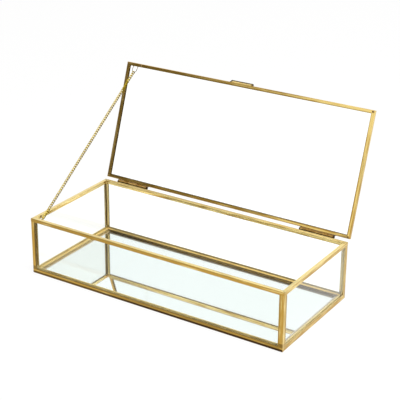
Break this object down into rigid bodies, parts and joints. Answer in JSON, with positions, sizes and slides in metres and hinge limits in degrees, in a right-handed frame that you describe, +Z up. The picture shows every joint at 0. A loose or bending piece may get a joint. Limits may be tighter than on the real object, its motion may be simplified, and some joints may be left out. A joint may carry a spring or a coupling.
{
  "type": "wedding card box",
  "caption": "Low clear-glass box in a soldered brass frame, with a mirror floor and a hinged glass lid that a chain holds open.",
  "frame": {"origin": "middle of the footprint of the box with its lid open, on the table", "axes": "+X left to right along the front, +Y front to back, +Z up"},
  "size_m": [0.23, 0.1378, 0.1449],
  "materials": {
    "brass_strip": "satin, lightly aged",
    "brass_hinge": "satin, lightly aged",
    "brass_chain": "polished",
    "staple_wire": "dull, tinned with solder",
    "clear_glass": "clear, polished",
    "mirror_face": "clear, polished",
    "mirror_back": "silvered, painted behind"
  },
  "bodies": {
    "box": {"bottom_front_rail": "brass_strip", "bottom_right_rail": "brass_strip", "bottom_rear_rail": "brass_strip", "bottom_left_rail": "brass_strip", "front_left_post": "brass_strip", "front_right_post": "brass_strip", "rear_right_post": "brass_strip", "rear_left_post": "brass_strip", "top_front_rail": "brass_strip", "top_right_rail": "brass_strip", "top_rear_rail": "brass_strip", "top_left_rail": "brass_strip", "front_glass": "clear_glass", "rear_glass": "clear_glass", "left_glass": "clear_glass", "right_glass": "clear_glass", "mirror_silvering": "mirror_back", "mirror_glass": "mirror_face", "left_hinge_box_leaf": "brass_hinge", "left_hinge_pin": "brass_hinge", "right_hinge_box_leaf": "brass_hinge", "right_hinge_pin": "brass_hinge", "box_chain_staple": "staple_wire"},
    "lid": {"lid_front_rail": "brass_strip", "lid_right_rail": "brass_strip", "lid_rear_rail": "brass_strip", "lid_left_rail": "brass_strip", "lid_glass": "clear_glass", "lid_tab": "brass_strip", "left_hinge_lid_leaf": "brass_hinge", "right_hinge_lid_leaf": "brass_hinge", "lid_chain_staple": "staple_wire"},
    "chain_run_01": {"chain_run_01": "brass_chain"},
    "chain_run_02": {"chain_run_02": "brass_chain"},
    "chain_run_03": {"chain_run_03": "brass_chain"},
    "chain_run_04": {"chain_run_04": "brass_chain"},
    "chain_run_05": {"chain_run_05": "brass_chain"},
    "chain_run_06": {"chain_run_06": "brass_chain"},
    "chain_run_07": {"chain_run_07": "brass_chain"},
    "chain_run_08": {"chain_run_08": "brass_chain"},
    "chain_run_09": {"chain_run_09": "brass_chain"},
    "chain_run_10": {"chain_run_10": "brass_chain"},
    "chain_run_11": {"chain_run_11": "brass_chain"},
    "chain_run_12": {"chain_run_12": "brass_chain"},
    "chain_run_13": {"chain_run_13": "brass_chain"},
    "chain_run_14": {"chain_run_14": "brass_chain"},
    "chain_run_15": {"chain_run_15": "brass_chain"},
    "chain_run_16": {"chain_run_16": "brass_chain"},
    "chain_run_17": {"chain_run_17": "brass_chain"},
    "chain_run_18": {"chain_run_18": "brass_chain"}
  },
  "joints": [
    {"name": "lid_hinge", "type": "hinge", "parent": "box", "child": "lid", "pos_m": [0, 0.03255, 0.0482], "axis": [1, 0, 0], "range_deg": [0, 109], "deforming": ["chain_run_01", "chain_run_02", "chain_run_03", "chain_run_04", "chain_run_05", "chain_run_06", "chain_run_07", "chain_run_08", "chain_run_09", "chain_run_10", "chain_run_11", "chain_run_12", "chain_run_13", "chain_run_14", "chain_run_15", "chain_run_16", "chain_run_17", "chain_run_18"]},
    {"name": "chain_run_01_hook", "type": "hinge", "parent": "box", "child": "chain_run_01", "pos_m": [-0.108, -0.06295, 0.0462], "axis": [-0.869, 0.4327, -0.2399], "range_deg": [-1, 128.67]},
    {"name": "chain_run_02_hook", "type": "hinge", "parent": "chain_run_01", "child": "chain_run_02", "pos_m": [-0.10789, -0.05627, 0.05106], "axis": [-0.2727, 0.8097, 0.5196], "range_deg": [-1, 50.73]},
    {"name": "chain_run_03_hook", "type": "hinge", "parent": "chain_run_02", "child": "chain_run_03", "pos_m": [-0.10778, -0.04931, 0.05613], "axis": [-0.027, 0.7436, 0.6681], "range_deg": [-1, 150.63]},
    {"name": "chain_run_04_hook", "type": "hinge", "parent": "chain_run_03", "child": "chain_run_04", "pos_m": [-0.10767, -0.04234, 0.06119], "axis": [0.0421, -0.9215, -0.3862], "range_deg": [-1, 154.37]},
    {"name": "chain_run_05_hook", "type": "hinge", "parent": "chain_run_04", "child": "chain_run_05", "pos_m": [-0.10756, -0.03538, 0.06626], "axis": [-0.2186, -0.9604, -0.1727], "range_deg": [-1, 137.27]},
    {"name": "chain_run_06_hook", "type": "hinge", "parent": "chain_run_05", "child": "chain_run_06", "pos_m": [-0.10745, -0.02841, 0.07133], "axis": [0.7651, 0.1388, 0.6288], "range_deg": [-1, 215.47]},
    {"name": "chain_run_07_hook", "type": "hinge", "parent": "chain_run_06", "child": "chain_run_07", "pos_m": [-0.10733, -0.02145, 0.07639], "axis": [-0.0683, 0.636, 0.7687], "range_deg": [-1, 151.67]},
    {"name": "chain_run_08_hook", "type": "hinge", "parent": "chain_run_07", "child": "chain_run_08", "pos_m": [-0.10722, -0.01449, 0.08146], "axis": [0.2271, -0.502, -0.8345], "range_deg": [-1, 114.83]},
    {"name": "chain_run_09_hook", "type": "hinge", "parent": "chain_run_08", "child": "chain_run_09", "pos_m": [-0.10711, -0.00752, 0.08653], "axis": [-0.2132, -0.3561, -0.9098], "range_deg": [-1, 156.23]},
    {"name": "chain_run_10_hook", "type": "hinge", "parent": "chain_run_09", "child": "chain_run_10", "pos_m": [-0.107, -0.00056, 0.09159], "axis": [0.3385, -0.9186, -0.2037], "range_deg": [-1, 152.07]},
    {"name": "chain_run_11_hook", "type": "hinge", "parent": "chain_run_10", "child": "chain_run_11", "pos_m": [-0.10689, 0.0064, 0.09666], "axis": [0.4896, -0.2866, -0.8235], "range_deg": [-1, 126.83]},
    {"name": "chain_run_12_hook", "type": "hinge", "parent": "chain_run_11", "child": "chain_run_12", "pos_m": [-0.10678, 0.01337, 0.10173], "axis": [0.1255, 0.8728, 0.4717], "range_deg": [-1, 121.5]},
    {"name": "chain_run_13_hook", "type": "hinge", "parent": "chain_run_12", "child": "chain_run_13", "pos_m": [-0.10667, 0.02033, 0.10679], "axis": [0.5278, 0.1471, -0.8366], "range_deg": [-1, 27.34]},
    {"name": "chain_run_14_hook", "type": "hinge", "parent": "chain_run_13", "child": "chain_run_14", "pos_m": [-0.10655, 0.02729, 0.11186], "axis": [0.3426, 0.686, -0.6419], "range_deg": [-1, 86.19]},
    {"name": "chain_run_15_hook", "type": "hinge", "parent": "chain_run_14", "child": "chain_run_15", "pos_m": [-0.10644, 0.03426, 0.11693], "axis": [0.0964, 0.9582, 0.2692], "range_deg": [-1, 168.56]},
    {"name": "chain_run_16_hook", "type": "hinge", "parent": "chain_run_15", "child": "chain_run_16", "pos_m": [-0.10633, 0.04122, 0.12199], "axis": [0.1658, 0.9443, 0.2843], "range_deg": [-1, 158.93]},
    {"name": "chain_run_17_hook", "type": "hinge", "parent": "chain_run_16", "child": "chain_run_17", "pos_m": [-0.10622, 0.04819, 0.12706], "axis": [0.1249, 0.9009, 0.4157], "range_deg": [-1, 153.24]},
    {"name": "chain_run_18_hook", "type": "hinge", "parent": "chain_run_17", "child": "chain_run_18", "pos_m": [-0.10611, 0.05515, 0.13212], "axis": [0.012, 0.9094, 0.4158], "range_deg": [-1, 153.62]}
  ],
  "couplings": [
    {"joint": "chain_run_01_hook", "follows": "lid_hinge", "ratio": 1.1713},
    {"joint": "chain_run_02_hook", "follows": "lid_hinge", "ratio": 0.45623},
    {"joint": "chain_run_03_hook", "follows": "lid_hinge", "ratio": 1.3727},
    {"joint": "chain_run_04_hook", "follows": "lid_hinge", "ratio": 1.407},
    {"joint": "chain_run_05_hook", "follows": "lid_hinge", "ratio": 1.2502},
    {"joint": "chain_run_06_hook", "follows": "lid_hinge", "ratio": 1.9676},
    {"joint": "chain_run_07_hook", "follows": "lid_hinge", "ratio": 1.3823},
    {"joint": "chain_run_08_hook", "follows": "lid_hinge", "ratio": 1.0443},
    {"joint": "chain_run_09_hook", "follows": "lid_hinge", "ratio": 1.4241},
    {"joint": "chain_run_10_hook", "follows": "lid_hinge", "ratio": 1.386},
    {"joint": "chain_run_11_hook", "follows": "lid_hinge", "ratio": 1.1544},
    {"joint": "chain_run_12_hook", "follows": "lid_hinge", "ratio": 1.1055},
    {"joint": "chain_run_13_hook", "follows": "lid_hinge", "ratio": 0.24162},
    {"joint": "chain_run_14_hook", "follows": "lid_hinge", "ratio": 0.78155},
    {"joint": "chain_run_15_hook", "follows": "lid_hinge", "ratio": 1.5373},
    {"joint": "chain_run_16_hook", "follows": "lid_hinge", "ratio": 1.4489},
    {"joint": "chain_run_17_hook", "follows": "lid_hinge", "ratio": 1.3967},
    {"joint": "chain_run_18_hook", "follows": "lid_hinge", "ratio": 1.4002}
  ]
}
